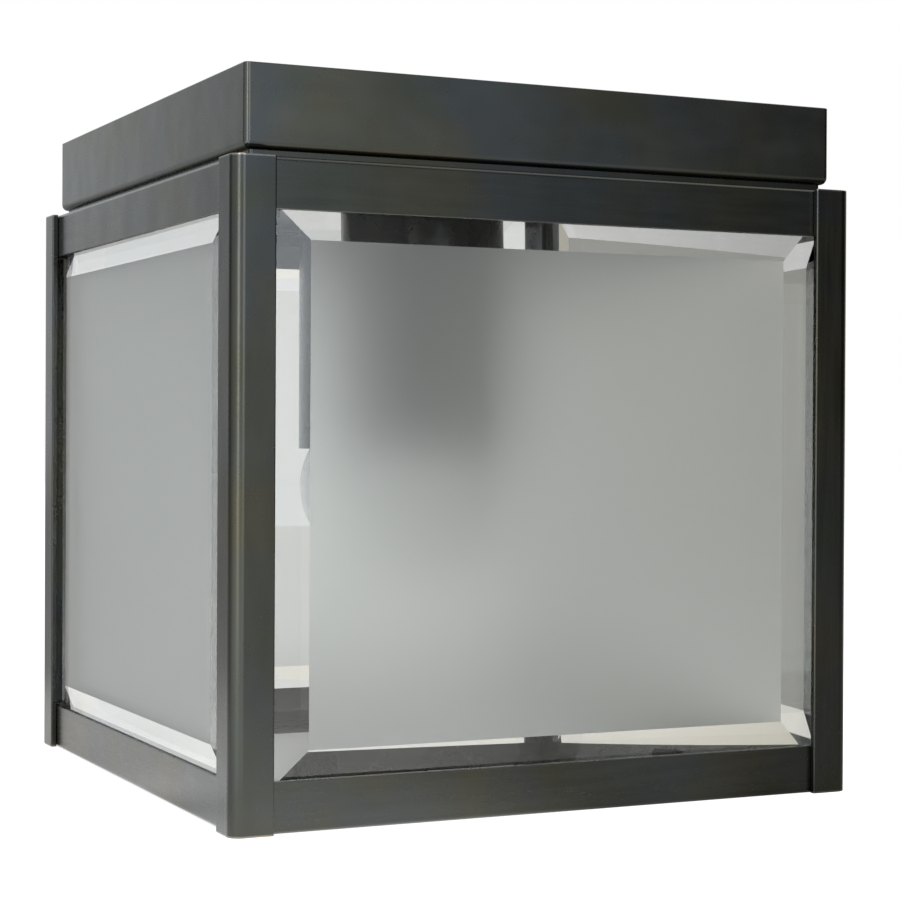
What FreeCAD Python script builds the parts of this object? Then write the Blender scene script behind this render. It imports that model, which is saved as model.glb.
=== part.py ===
import FreeCAD, Part
import math
import os

Vector = FreeCAD.Vector

# Square box lantern that hangs flush under a ceiling. Millimetres, +Z up.
# The origin is the middle of the ceiling face: z = 0 is the ceiling, the lantern hangs below it.
# The front is the side towards -Y. Each side piece is drawn at the front and turned round Z.

# ---------------------------------------------------------------- driving dimensions

# Frame of angle: corner posts outside, rails set back behind the posts' flanges
frame_side = 305.0
frame_height = 281.4
post_leg = 19.0
post_thickness = 3.0
post_corner_radius = 5.5
post_edge_radius = 0.7
rail_height = 22.0
rail_leg = 28.0
rail_thickness = 2.5
rail_edge_radius = 0.5
rail_corner_radius = 2.0

# Canopy pan and the plate that spaces it from the frame
canopy_side = 290.0
canopy_height = 36.0
canopy_sheet = 1.6
canopy_corner_radius = 2.4
canopy_edge_radius = 2.2
canopy_rim_radius = 0.5
roof_side = 284.0
roof_thickness = 3.0
roof_corner_radius = 1.5

# Bevelled panes: a flat frosted centre and a wide clear bevel on the outside
pane_thickness = 6.0
frost_width = 234.3
frost_height = 213.1
bevel_width = 25.0
bevel_drop = 4.9
pane_gap = 0.05

# What holds each pane
clip_width = 23.0
clip_sheet = 1.5
clip_height = 19.9
clip_foot = 14.0
clip_corner_radius = 3.0
pad_width = 20.0
pad_thickness = 1.0
pad_height = 8.5
block_length = 20.0
block_depth = 6.5
block_offset = 80.0

# Round can, nipple and lampholder in the middle
can_radius = 40.7
can_sheet = 1.2
can_length = 122.5
can_edge_radius = 1.0
nipple_radius = 4.95
nipple_bore_radius = 3.25
nipple_top = -27.0
nipple_bottom = -75.0
nipple_hole_radius = 5.2
locknut_across_flats = 14.0
locknut_thickness = 3.0
cap_top = -69.0
cap_bottom = -86.0
cap_neck_radius = 8.0
cap_skirt_radius = 17.0
cap_wall = 1.0
holder_bottom = -126.0
holder_shoulder_radius = 19.0
holder_lip_radius = 22.3
holder_lip_height = 6.0
spigot_radius = 15.6
spigot_height = 4.0
holder_screw_offset = 9.0
holder_bore_radius = 14.6
holder_floor = -96.0
shell_radius = 13.95
shell_sheet = 0.45
shell_top = -99.0
shell_bottom = -124.0
shell_rib_depth = 0.4
tongue_thickness = 0.5

# Globe bulb, cap upwards
globe_radius = 40.0
globe_centre = -180.0
globe_wall = 0.9
neck_radius = 13.5
neck_fillet = 25.0
bulb_tip = -98.0
bulb_cap_radius = 12.95
bulb_cap_sheet = 0.3
thread_depth = 0.8
thread_pitch = 3.6
bulb_cap_length = 20.0
bulb_collar_length = 7.5
bulb_contact_radius = 2.8
insulator_radius = 11.85

# Ceiling crossbar and the two studs that carry the lantern
crossbar_length = 150.0
crossbar_width = 20.0
crossbar_thickness = 2.5
crossbar_corner_radius = 4.0
box_screw_spacing = 88.9
box_slot_radius = 2.3
box_slot_length = 14.0
stud_offset = 60.0
stud_radius = 2.5
stud_bottom = -47.5
stud_hole_radius = 3.0
stud_locknut_height = 4.0
washer_radius = 6.0
washer_hole_radius = 2.7
washer_thickness = 1.2
cap_nut_across_flats = 8.0
cap_nut_height = 10.0

# Small screws of clips, terminal block and lampholder
small_screw_radius = 1.5
small_tapped_radius = 1.55
small_free_radius = 1.7
small_head_radius = 2.8
small_head_height = 2.0
small_head_rounding = 0.9
thread_clearance = 0.05

# Screws that join canopy, roof plate and top rails
roof_screw_along = 80.0
roof_screw_out = 130.0
roof_screw_radius = 2.0
roof_screw_hole_radius = 2.2
roof_head_radius = 3.6
roof_head_height = 2.6
roof_head_rounding = 1.2
roof_nut_across_flats = 7.0
roof_nut_thickness = 3.2
roof_screw_end = -29.5

# Terminal block, leads and earth stud inside the canopy
block_centre_y = -62.0
block_width = 36.0
block_length_y = 18.0
block_height = 20.0
way_pitch = 8.0
way_radius = 2.2
way_height = -21.0
way_screw_inset = 3.5
way_screw_radius = 1.5
way_screw_hole_radius = 1.6
way_screw_head_radius = 2.4
block_screw_offset = 14.0
lead_radius = 1.1
lead_bend = 6.0
lead_entry = 5.0
lead_foot_bend = 3.0
lead_from_axis = 1.6
lead_clearance = 0.1
earth_x = 34.0
earth_y = -40.0
earth_stud_top = -24.0
earth_flange_radius = 4.5
earth_flange_thickness = 1.2

# ---------------------------------------------------------------- worked out

half = frame_side / 2
frame_top = -(canopy_height + roof_thickness)
frame_bottom = frame_top - frame_height
frame_middle = (frame_top + frame_bottom) / 2
rail_face = half - post_thickness
rail_back = rail_face - rail_thickness
bevel_seen = frame_height / 2 - rail_height - frost_height / 2
pane_face = rail_back + bevel_drop * bevel_seen / bevel_width - pane_gap
pane_back = pane_face - pane_thickness
pane_half_width = frost_width / 2 + bevel_width
pane_half_height = frost_height / 2 + bevel_width
pane_bottom = frame_middle - pane_half_height
leg_top = frame_bottom + rail_thickness
leg_under = frame_top - rail_thickness
clip_back = pane_back - pad_thickness
clip_screw_out = clip_back - clip_foot * 0.6
clip_reach = clip_height - rail_thickness
canopy_floor = -canopy_height + canopy_sheet
can_top = frame_top
can_bottom = can_top - can_length
spigot_top = cap_bottom + spigot_height
block_top = canopy_floor + block_height

SIDES = {"front": 0, "right": 90, "back": 180, "left": 270}
CORNERS = {"front_left": 0, "front_right": 90, "back_right": 180, "back_left": 270}
STUDS = (-stud_offset, stud_offset)
BLOCK_SCREWS = (-block_screw_offset, block_screw_offset)
HOLDER_SCREWS = (-holder_screw_offset, holder_screw_offset)
WAYS = (-way_pitch, 0.0, way_pitch)

# ---------------------------------------------------------------- helpers


def box(x0, x1, y0, y1, z0, z1):
    """Box between two corners."""
    return Part.makeBox(x1 - x0, y1 - y0, z1 - z0, Vector(x0, y0, z0))


def rod(radius, z0, z1, x=0.0, y=0.0):
    """Upright round bar."""
    return Part.makeCylinder(radius, z1 - z0, Vector(x, y, z0))


def prism(points, z0, z1):
    """Upright prism on a plan outline."""
    corners = [Vector(x, y, z0) for x, y in points]
    return Part.Face(Part.makePolygon(corners + corners[:1])).extrude(Vector(0, 0, z1 - z0))


def rounded_plate(side, radius, z0, z1):
    """Square plate round the Z axis, with its upright corners rounded."""
    plate = box(-side / 2, side / 2, -side / 2, side / 2, z0, z1)
    upright = [e for e in plate.Edges if abs(e.Vertexes[0].Z - e.Vertexes[1].Z) > 1e-6]
    return plate.makeFillet(radius, upright)


def hexagon(across_flats, z0, z1, x=0.0, y=0.0):
    """Upright hexagonal bar."""
    radius = across_flats / math.sqrt(3)
    turns = [math.radians(60 * i) for i in range(6)]
    return prism([(x + radius * math.cos(a), y + radius * math.sin(a)) for a in turns], z0, z1)


def turned(profile):
    """Solid of revolution round the Z axis from (radius, z) points."""
    corners = [Vector(r, 0, z) for r, z in profile]
    face = Part.Face(Part.makePolygon(corners + corners[:1]))
    return face.revolve(Vector(0, 0, 0), Vector(0, 0, 1), 360)


def round_turn(shape, degrees):
    """Copy of a shape turned round the Z axis."""
    copy = shape.copy()
    copy.rotate(Vector(0, 0, 0), Vector(0, 0, 1), degrees)
    return copy


def four_round(shapes):
    """The front's shapes repeated on all four sides."""
    return [round_turn(shape, angle) for angle in SIDES.values() for shape in shapes]


def tube_along(edges, radius):
    """Round wire swept along a path of lines and arcs."""
    path = Part.Wire(edges)
    start = edges[0].valueAt(edges[0].FirstParameter)
    heading = edges[0].tangentAt(edges[0].FirstParameter)
    section = Part.Wire(Part.makeCircle(radius, start, heading))
    tube = path.makePipeShell([section], True, False)
    ratio = tube.Volume / (math.pi * radius ** 2 * path.Length)
    print("lead: length %.1f mm, volume over section times length %.4f" % (path.Length, ratio))
    return tube


def bend(start, before, after, radius):
    """Quarter bend from heading before to heading after, and where it ends."""
    end = start + before * radius + after * radius
    middle = start + after * radius + (before - after) * (radius * math.sqrt(0.5))
    return Part.Arc(start, middle, end).toShape(), end


def write(name, shapes):
    """One STEP file for one node."""
    shape = shapes[0] if len(shapes) == 1 else Part.makeCompound(shapes)
    if not shape.isValid():
        raise ValueError(name + " is not valid")
    shape.exportStep("parts/" + name + ".step")
    print("%-20s %2d solids %10.1f mm3" % (name, len(shape.Solids), shape.Volume))


# ---------------------------------------------------------------- frame


def corner_post():
    """Angle with a rounded outer corner, at the front left."""
    r = post_corner_radius
    mid = r * (1 - math.sqrt(0.5))
    edge, inner, tip = -half, -half + post_thickness, -half + post_leg
    start, end = Vector(edge, edge + r, frame_bottom), Vector(edge + r, edge, frame_bottom)
    arc = Part.Arc(start, Vector(edge + mid, edge + mid, frame_bottom), end).toShape()
    turn = [(edge + r, edge), (tip, edge), (tip, inner), (inner, inner), (inner, tip)]
    turn += [(edge, tip), (edge, edge + r)]
    corners = [Vector(x, y, frame_bottom) for x, y in turn]
    lines = [Part.makeLine(a, b) for a, b in zip(corners, corners[1:])]
    post = Part.Face(Part.Wire([arc] + lines)).extrude(Vector(0, 0, frame_height))

    def outer_edge(edge_line):
        """Long outer edges of the two flanges."""
        a, b = edge_line.Vertexes[0].Point, edge_line.Vertexes[-1].Point
        on_front = abs(a.x - tip) + abs(a.y - edge) < 1e-6
        on_left = abs(a.y - tip) + abs(a.x - edge) < 1e-6
        return abs(a.z - b.z) > frame_height / 2 and (on_front or on_left)

    return post.makeFillet(post_edge_radius, [e for e in post.Edges if outer_edge(e)])


def mitred(depth, z0, z1):
    """Bar along the front between two 45 degree mitres, as deep as given."""
    outer, inner = rail_face, rail_face - depth
    return prism([(-outer, -outer), (outer, -outer), (inner, -inner), (-inner, -inner)], z0, z1)


def long_edges(angle, z):
    """Edges along a front rail's outer face at one height."""
    found = []
    for edge in angle.Edges:
        span = edge.BoundBox
        at_height = abs(span.ZMin - z) + abs(span.ZMax - z) < 1e-6
        if at_height and abs(span.YMin + rail_face) + abs(span.YMax + rail_face) < 1e-6:
            found.append(edge)
    return found


def rail(top):
    """Unequal angle: upright leg behind the post flanges, level leg inwards."""
    if top:
        upright = mitred(rail_thickness, frame_top - rail_height, frame_top)
        level = mitred(rail_leg, leg_under, frame_top)
        edge_z, corner_z = frame_top - rail_height, frame_top
    else:
        upright = mitred(rail_thickness, frame_bottom, frame_bottom + rail_height)
        level = mitred(rail_leg, frame_bottom, leg_top)
        edge_z, corner_z = frame_bottom + rail_height, frame_bottom
    angle = upright.fuse(level).removeSplitter()
    angle = angle.makeFillet(rail_edge_radius, long_edges(angle, edge_z))
    angle = angle.makeFillet(rail_corner_radius, long_edges(angle, corner_z))
    low, high = level.BoundBox.ZMin - 1, level.BoundBox.ZMax + 1
    angle = angle.cut(rod(small_tapped_radius, low, high, 0, -clip_screw_out))
    if top:
        for x in (-roof_screw_along, roof_screw_along):
            angle = angle.cut(rod(roof_screw_hole_radius, low, high, x, -roof_screw_out))
    return angle


# ---------------------------------------------------------------- panes and what holds them


def pane():
    """Plate with a bevel all round its outer face: a slab meeting a frustum."""
    w, h = pane_half_width, pane_half_height
    slab = box(-w, w, -pane_face + bevel_drop, -pane_back, frame_middle - h, frame_middle + h)

    def outline(half_w, half_h, y):
        corners = [
            Vector(-half_w, y, frame_middle - half_h), Vector(half_w, y, frame_middle - half_h),
            Vector(half_w, y, frame_middle + half_h), Vector(-half_w, y, frame_middle + half_h),
        ]
        return Part.makePolygon(corners + corners[:1])

    rim = outline(w, h, -pane_face + bevel_drop)
    flat = outline(frost_width / 2, frost_height / 2, -pane_face)
    return slab.fuse(Part.makeLoft([rim, flat], True, True)).removeSplitter()


def clip(top):
    """Bent clip: foot on the rail's level leg, upright behind the pane."""
    w = clip_width / 2
    base, sign = (leg_under, -1) if top else (leg_top, 1)
    tip = base + sign * clip_reach
    foot_end = base + sign * clip_sheet
    low, high = sorted((base, foot_end))
    foot = box(-w, w, -clip_back, -clip_back + clip_foot, low, high)
    low, high = sorted((base, tip))
    upright = box(-w, w, -clip_back, -clip_back + clip_sheet, low, high)
    corners = [
        e for e in upright.Edges
        if abs(e.BoundBox.ZMin - tip) + abs(e.BoundBox.ZMax - tip) < 1e-6 and e.BoundBox.XLength < 1e-6
    ]
    upright = upright.makeFillet(clip_corner_radius, corners)
    bent = foot.fuse(upright).removeSplitter()
    return bent.cut(rod(small_free_radius, base - 5, base + 5, 0, -clip_screw_out))


def clip_screw(top):
    """Round-head screw through the clip's foot into the rail."""
    if top:
        under = leg_under - clip_sheet
        shank = rod(small_screw_radius, under, frame_top - 0.2, 0, -clip_screw_out)
        head = rod(small_head_radius, under - small_head_height, under, 0, -clip_screw_out)
    else:
        above = leg_top + clip_sheet
        shank = rod(small_screw_radius, frame_bottom + 0.2, above, 0, -clip_screw_out)
        head = rod(small_head_radius, above, above + small_head_height, 0, -clip_screw_out)
    head = head.makeFillet(small_head_rounding, [far_circle(head, top)])
    return head.fuse(shank).removeSplitter()


def far_circle(head, low):
    """The round edge of a screw head that stands away from its seat."""
    circles = [e for e in head.Edges if isinstance(e.Curve, Part.Circle)]
    circles.sort(key=lambda e: e.BoundBox.ZMin)
    return circles[0] if low else circles[-1]


def clip_pad(top):
    """Thin pad between a clip's upright and the pane."""
    w = pad_width / 2
    low = leg_under - clip_reach if top else leg_top + clip_reach - pad_height
    return box(-w, w, -pane_back, -clip_back, low, low + pad_height)


def setting_block(x):
    """Block under a pane's lower edge, on the bottom rail's level leg."""
    w = block_length / 2
    return box(x - w, x + w, -rail_back, -rail_back + block_depth, leg_top, pane_bottom)


# ---------------------------------------------------------------- canopy and roof


def hole_pattern(z0, z1):
    """Holes that canopy floor and roof plate share."""
    holes = [rod(nipple_hole_radius, z0, z1)]
    holes += [rod(stud_hole_radius, z0, z1, x) for x in STUDS]
    screws = [
        rod(roof_screw_hole_radius, z0, z1, x, -roof_screw_out)
        for x in (-roof_screw_along, roof_screw_along)
    ]
    return holes + four_round(screws)


def canopy():
    """Square pan, open towards the ceiling."""
    pan = rounded_plate(canopy_side, canopy_corner_radius, -canopy_height, 0)
    low = [e for e in pan.Edges if e.BoundBox.ZMax < -canopy_height + 1e-6]
    pan = pan.makeFillet(canopy_edge_radius, low)
    rim = [e for e in pan.Edges if e.BoundBox.ZMin > -1e-6]
    pan = pan.makeFillet(canopy_rim_radius, rim)
    inside = rounded_plate(
        canopy_side - 2 * canopy_sheet, canopy_corner_radius - canopy_sheet, canopy_floor, 1
    )
    low, high = -canopy_height - 1, canopy_floor + 1
    pan = pan.cut(inside).cut(hole_pattern(low, high))
    pan = pan.cut([rod(small_tapped_radius, low, high, x, block_centre_y) for x in BLOCK_SCREWS])
    return pan.cut(rod(roof_screw_radius + thread_clearance, low, high, earth_x, earth_y))


def roof_plate():
    """Plate on the top rails' level legs, under the canopy."""
    plate = rounded_plate(roof_side, roof_corner_radius, frame_top, -canopy_height)
    return plate.cut(hole_pattern(frame_top - 1, -canopy_height + 1))


def roof_screw(x):
    """Screw up through top rail, roof plate and canopy floor."""
    shank = rod(roof_screw_radius, leg_under, roof_screw_end, x, -roof_screw_out)
    head = rod(roof_head_radius, leg_under - roof_head_height, leg_under, x, -roof_screw_out)
    head = head.makeFillet(roof_head_rounding, [far_circle(head, True)])
    return head.fuse(shank).removeSplitter()


def roof_nut(x):
    """Nut on a roof screw, on the canopy floor."""
    nut_top = canopy_floor + roof_nut_thickness
    nut = hexagon(roof_nut_across_flats, canopy_floor, nut_top, x, -roof_screw_out)
    return nut.cut(rod(roof_screw_radius + thread_clearance, canopy_floor - 1, 0, x, -roof_screw_out))


# ---------------------------------------------------------------- ceiling crossbar


def crossbar():
    """Flat steel bar: centre hole, two slots for the ceiling box, two stud holes."""
    bar = box(
        -crossbar_length / 2, crossbar_length / 2, -crossbar_width / 2, crossbar_width / 2,
        -crossbar_thickness, 0,
    )
    upright = [e for e in bar.Edges if abs(e.Vertexes[0].Z - e.Vertexes[1].Z) > 1e-6]
    bar = bar.makeFillet(crossbar_corner_radius, upright)
    bar = bar.cut(rod(nipple_hole_radius, -5, 1))
    run = box_slot_length / 2 - box_slot_radius
    for side in (-1, 1):
        x = side * box_screw_spacing / 2
        bar = bar.cut(rod(box_slot_radius, -5, 1, x - run)).cut(rod(box_slot_radius, -5, 1, x + run))
        bar = bar.cut(box(x - run, x + run, -box_slot_radius, box_slot_radius, -5, 1))
        bar = bar.cut(rod(stud_radius + thread_clearance, -5, 1, side * stud_offset))
    return bar


def stud_locknut(x):
    """Nut that locks a stud under the crossbar."""
    under = -crossbar_thickness
    nut = hexagon(cap_nut_across_flats, under - stud_locknut_height, under, x)
    return nut.cut(rod(stud_radius + thread_clearance, -20, 0, x))


def stud_washer(x):
    """Washer between roof plate and cap nut."""
    washer = rod(washer_radius, frame_top - washer_thickness, frame_top, x)
    return washer.cut(rod(washer_hole_radius, frame_top - 2, frame_top + 1, x))


def cap_nut(x):
    """Domed nut on a stud's lower end: a hexagon with a half-round cap."""
    top = frame_top - washer_thickness
    skirt = cap_nut_height * 0.5
    dome_radius = cap_nut_across_flats / 2 - 0.2
    ball_z = top - cap_nut_height + dome_radius
    nut = hexagon(cap_nut_across_flats, top - skirt, top, x)
    nut = nut.fuse(rod(dome_radius, ball_z, top - skirt, x))
    nut = nut.fuse(Part.makeSphere(dome_radius, Vector(x, 0, ball_z))).removeSplitter()
    return nut.cut(rod(stud_radius + thread_clearance, stud_bottom - 0.3, top + 1, x))


# ---------------------------------------------------------------- can and lampholder


def socket_can():
    """Round can, closed at the top and open at the bottom."""
    can = rod(can_radius, can_bottom, can_top)
    upper = [e for e in can.Edges if e.BoundBox.ZMin > can_top - 1e-6]
    can = can.makeFillet(can_edge_radius, upper)
    can = can.cut(rod(can_radius - can_sheet, can_bottom - 1, can_top - can_sheet))
    return can.cut(rod(nipple_hole_radius, can_top - 5, can_top + 1))


def nipple():
    """Threaded tube that carries can and lampholder and guides the leads."""
    return rod(nipple_radius, nipple_bottom, nipple_top).cut(rod(nipple_bore_radius, -100, 0))


def locknut(z):
    """Hexagonal locknut on the nipple, standing on z."""
    nut = hexagon(locknut_across_flats, z, z + locknut_thickness)
    return nut.cut(rod(nipple_radius + thread_clearance, z - 1, z + locknut_thickness + 1))


def lampholder_cap():
    """Spun metal cap: threaded neck, cone and skirt."""
    neck, skirt, bore = cap_neck_radius, cap_skirt_radius, nipple_radius + thread_clearance
    outer = [(neck, cap_top), (neck, cap_top - 7), (skirt, cap_top - 11), (skirt, cap_bottom)]
    inner = [(skirt - cap_wall, cap_bottom), (skirt - cap_wall, cap_top - 11.5)]
    inner += [(neck - cap_wall, cap_top - 8), (bore, cap_top - 8)]
    return turned([(bore, cap_top)] + outer + inner)


def lampholder_body():
    """Porcelain body with a spigot up in the cap and a deep bore for the bulb cap."""
    shoulder, lip = holder_shoulder_radius, holder_lip_radius
    lip_top = holder_bottom + holder_lip_height
    outer = [(spigot_radius, spigot_top), (spigot_radius, cap_bottom), (shoulder, cap_bottom)]
    outer += [(shoulder + 0.6, cap_bottom - 2), (shoulder + 2.0, lip_top + 3)]
    outer += [(lip, lip_top), (lip, holder_bottom)]
    bore = [(holder_bore_radius, holder_bottom), (holder_bore_radius, holder_floor), (0.0, holder_floor)]
    body = turned([(0.0, spigot_top)] + outer + bore)
    holes = [rod(small_tapped_radius, holder_floor - 1, spigot_top + 1, x) for x in HOLDER_SCREWS]
    return body.cut(holes)


def ribbed_sleeve(radius, sheet, top, bottom, depth):
    """Thin sleeve with rolled thread ribs: rings as (radius, z) zigzags, one per pitch."""
    count = int((top - bottom - 2) / thread_pitch)
    ribs = []
    for i in range(count):
        z = top - 1 - thread_pitch * i
        ribs += [(radius, z), (radius - depth, z - thread_pitch / 2)]
    ribs.append((radius, top - 1 - thread_pitch * count))
    outer = [(radius, top)] + ribs + [(radius, bottom)]
    inner = [(r - sheet, z) for r, z in reversed(outer)]
    return turned(outer + inner)


def lampholder_screw(x):
    """Terminal screw that runs down the porcelain to the bore's floor."""
    head = rod(small_head_radius, spigot_top, spigot_top + small_head_height, x)
    return head.fuse(rod(small_screw_radius, holder_floor, spigot_top, x)).removeSplitter()


def centre_contact():
    """Bent tongue under the bore's floor that meets the bulb's tip."""
    strip = box(-10, 4, -3, 3, holder_floor - tongue_thickness, holder_floor)
    drop = box(-1.0, 3.5, -3, 3, bulb_tip + 0.4, holder_floor - tongue_thickness)
    return strip.fuse(drop).removeSplitter()


# ---------------------------------------------------------------- bulb


def bulb_profile(inset):
    """Half outline of the globe: cap neck, concave fillet tangent to the ball, ball."""
    reach = globe_radius + neck_fillet
    across = neck_radius + neck_fillet
    rise = math.sqrt(reach ** 2 - across ** 2)
    fillet_centre = Vector(across, 0, globe_centre + rise)
    centre = Vector(0, 0, globe_centre)
    outward = (fillet_centre - centre) * (1 / reach)
    ball, fillet = globe_radius - inset, neck_fillet + inset
    touch = centre + outward * ball
    start = fillet_centre + Vector(-fillet, 0, 0)
    half_turn = Vector(-1, 0, 0) - outward
    middle = fillet_centre + half_turn * (fillet / half_turn.Length)
    lean = math.atan2(outward.z, outward.x)
    side_angle = (lean - math.pi / 2) / 2
    side = centre + Vector(math.cos(side_angle), 0, math.sin(side_angle)) * ball
    return start, middle, touch, side, centre - Vector(0, 0, ball)


def bulb_globe():
    """Thin-walled opal globe with an open neck inside the cap."""
    mouth = bulb_tip - 28.0

    def half_section(inset):
        start, middle, touch, side, low = bulb_profile(inset)
        lip = Vector(start.x, 0, mouth)
        arcs = [Part.makeLine(lip, start), Part.Arc(start, middle, touch).toShape()]
        arcs.append(Part.Arc(touch, side, low).toShape())
        return lip, arcs, low

    lip, outer, low = half_section(0.0)
    inner_lip, inner, inner_low = half_section(globe_wall)
    edges = outer + [Part.makeLine(low, inner_low)] + inner[::-1] + [Part.makeLine(inner_lip, lip)]
    face = Part.Face(Part.Wire(Part.__sortEdges__(edges)))
    return face.revolve(Vector(0, 0, 0), Vector(0, 0, 1), 360)


def bulb_insulator():
    """Black glass cone between the bulb's cap and its tip."""
    top, low = bulb_tip - 1, bulb_tip - 5
    return turned([(0.0, top), (5.0, top), (insulator_radius, low + 1.5), (insulator_radius, low), (0.0, low)])


def bulb_cap():
    """Upper end of the screw cap: a sleeve with rolled ribs."""
    top = bulb_tip - 3.0
    return ribbed_sleeve(bulb_cap_radius, bulb_cap_sheet, top, top - bulb_cap_length, thread_depth)


def bulb_collar():
    """Plain lower end of the cap, flared round the glass neck."""
    top = bulb_tip - 3.0 - bulb_cap_length
    low = top - bulb_collar_length
    flare = neck_radius + 0.7
    bore = neck_radius + 0.05
    return turned([
        (bulb_cap_radius, top), (bulb_cap_radius, top - 3.6), (flare, top - 4.6), (flare, low),
        (bore, low), (bore, top - 4.9), (bulb_cap_radius - 0.4, top - 4.0), (bulb_cap_radius - 0.4, top),
    ])


# ---------------------------------------------------------------- wiring in the canopy


def terminal_block():
    """Block of three ways with holes along Y and clamp screws from above."""
    y0, y1 = block_centre_y - block_length_y / 2, block_centre_y + block_length_y / 2
    block = box(-block_width / 2, block_width / 2, y0, y1, canopy_floor, block_top)
    for x in WAYS:
        start = Vector(x, y0 - 1, way_height)
        block = block.cut(Part.makeCylinder(way_radius, block_length_y + 2, start, Vector(0, 1, 0)))
        for y in (y0 + way_screw_inset, y1 - way_screw_inset):
            block = block.cut(rod(way_screw_hole_radius, way_height, block_top + 1, x, y))
    low, high = canopy_floor - 1, block_top + 1
    return block.cut([rod(small_free_radius, low, high, x, block_centre_y) for x in BLOCK_SCREWS])


def terminal_screws():
    """Two clamp screws in each way: the supply's raised, the lamp's down on its lead."""
    out = block_length_y / 2 - way_screw_inset
    raised, clamped = way_height + way_radius, way_height + lead_radius + 0.15
    screws = []
    for x in WAYS:
        for y, end in ((block_centre_y - out, raised), (block_centre_y + out, clamped)):
            head = rod(way_screw_head_radius, block_top, block_top + 1.5, x, y)
            screws.append(head.fuse(rod(way_screw_radius, end, block_top, x, y)).removeSplitter())
    return screws


def block_screw(x):
    """Screw that holds the terminal block on the canopy floor."""
    shank = rod(small_screw_radius, -canopy_height + 0.2, block_top, x, block_centre_y)
    head = rod(small_head_radius, block_top, block_top + small_head_height, x, block_centre_y)
    return head.fuse(shank).removeSplitter()


def lamp_lead(side):
    """Lead from a lampholder screw, up the nipple and over to its way in the block."""
    start_x = side * (holder_screw_offset - small_head_radius - lead_clearance)
    bore_x = side * lead_from_axis
    foot_z = spigot_top + lead_radius + lead_clearance
    up = Vector(0, 0, 1)
    inward = Vector(-side, 0, 0)
    start = Vector(start_x, 0, foot_z)
    corner = Vector(bore_x + side * lead_foot_bend, 0, foot_z)
    first_bend, foot = bend(corner, inward, up, lead_foot_bend)
    neck = Vector(bore_x, 0, way_height - lead_bend)
    face = Vector(side * way_pitch, block_centre_y + block_length_y / 2, neck.z)
    across = (face - neck).normalize()
    second_bend, level = bend(neck, up, across, lead_bend)
    entry = lead_entry / abs(across.y)
    end = Vector(face.x, face.y, level.z) + across * entry
    path = [Part.makeLine(start, corner), first_bend, Part.makeLine(foot, neck), second_bend]
    return tube_along(path + [Part.makeLine(level, end)], lead_radius)


def earth_lead():
    """Lead from the earth stud along the canopy floor and up into the middle way."""
    floor_z = canopy_floor + lead_radius + lead_clearance
    left, up, forward = Vector(-1, 0, 0), Vector(0, 0, 1), Vector(0, -1, 0)
    start = Vector(earth_x - earth_flange_radius - lead_clearance, earth_y, floor_z)
    corner = Vector(lead_bend, earth_y, floor_z)
    first_bend, foot = bend(corner, left, up, lead_bend)
    neck = Vector(0, earth_y, way_height - lead_bend)
    second_bend, level = bend(neck, up, forward, lead_bend)
    end = Vector(0, block_centre_y + block_length_y / 2 - lead_entry, way_height)
    path = [Part.makeLine(start, corner), first_bend]
    if (neck - foot).Length > 1e-3:
        path.append(Part.makeLine(foot, neck))
    return tube_along(path + [second_bend, Part.makeLine(level, end)], lead_radius)


def earth_stud():
    """Stud pressed in the canopy floor."""
    return rod(roof_screw_radius, -canopy_height, earth_stud_top, earth_x, earth_y)


def earth_nut():
    """Flanged nut that clamps the earth lead's end."""
    seat = canopy_floor + earth_flange_thickness
    nut_top = seat + roof_nut_thickness
    flange = rod(earth_flange_radius, canopy_floor, seat, earth_x, earth_y)
    nut = flange.fuse(hexagon(roof_nut_across_flats, seat, nut_top, earth_x, earth_y)).removeSplitter()
    return nut.cut(rod(roof_screw_radius + thread_clearance, canopy_floor - 1, nut_top + 1, earth_x, earth_y))


# ---------------------------------------------------------------- all nodes

os.makedirs("parts", exist_ok=True)

post, top_rail, bottom_rail, glass = corner_post(), rail(True), rail(False), pane()
front_clips = [clip(True), clip(False)]

for corner_name, angle in CORNERS.items():
    write("post_" + corner_name, [round_turn(post, angle)])
for side_name, angle in SIDES.items():
    write("top_rail_" + side_name, [round_turn(top_rail, angle)])
    write("bottom_rail_" + side_name, [round_turn(bottom_rail, angle)])
    write("pane_" + side_name, [round_turn(glass, angle)])
    write("pane_clips_" + side_name, [round_turn(shape, angle) for shape in front_clips])

write("clip_screws", four_round([clip_screw(True), clip_screw(False)]))
write("clip_pads", four_round([clip_pad(True), clip_pad(False)]))
write("setting_blocks", four_round([setting_block(-block_offset), setting_block(block_offset)]))

write("canopy", [canopy()])
write("roof_plate", [roof_plate()])
write("roof_screws", four_round([roof_screw(-roof_screw_along), roof_screw(roof_screw_along)]))
write("roof_nuts", four_round([roof_nut(-roof_screw_along), roof_nut(roof_screw_along)]))

write("crossbar", [crossbar()])
write("mounting_studs", [rod(stud_radius, stud_bottom, 0, x) for x in STUDS])
write("stud_locknuts", [stud_locknut(x) for x in STUDS])
write("stud_washers", [stud_washer(x) for x in STUDS])
write("cap_nuts", [cap_nut(x) for x in STUDS])

write("socket_can", [socket_can()])
write("nipple", [nipple()])
write("nipple_locknuts", [locknut(canopy_floor), locknut(can_top - can_sheet - locknut_thickness)])
write("lampholder_cap", [lampholder_cap()])
write("lampholder_body", [lampholder_body()])
write("lampholder_screws", [lampholder_screw(x) for x in HOLDER_SCREWS])
shell_outside = shell_radius + shell_sheet
write("screw_shell", [ribbed_sleeve(shell_outside, shell_sheet, shell_top, shell_bottom, shell_rib_depth)])
write("centre_contact", [centre_contact()])

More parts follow.
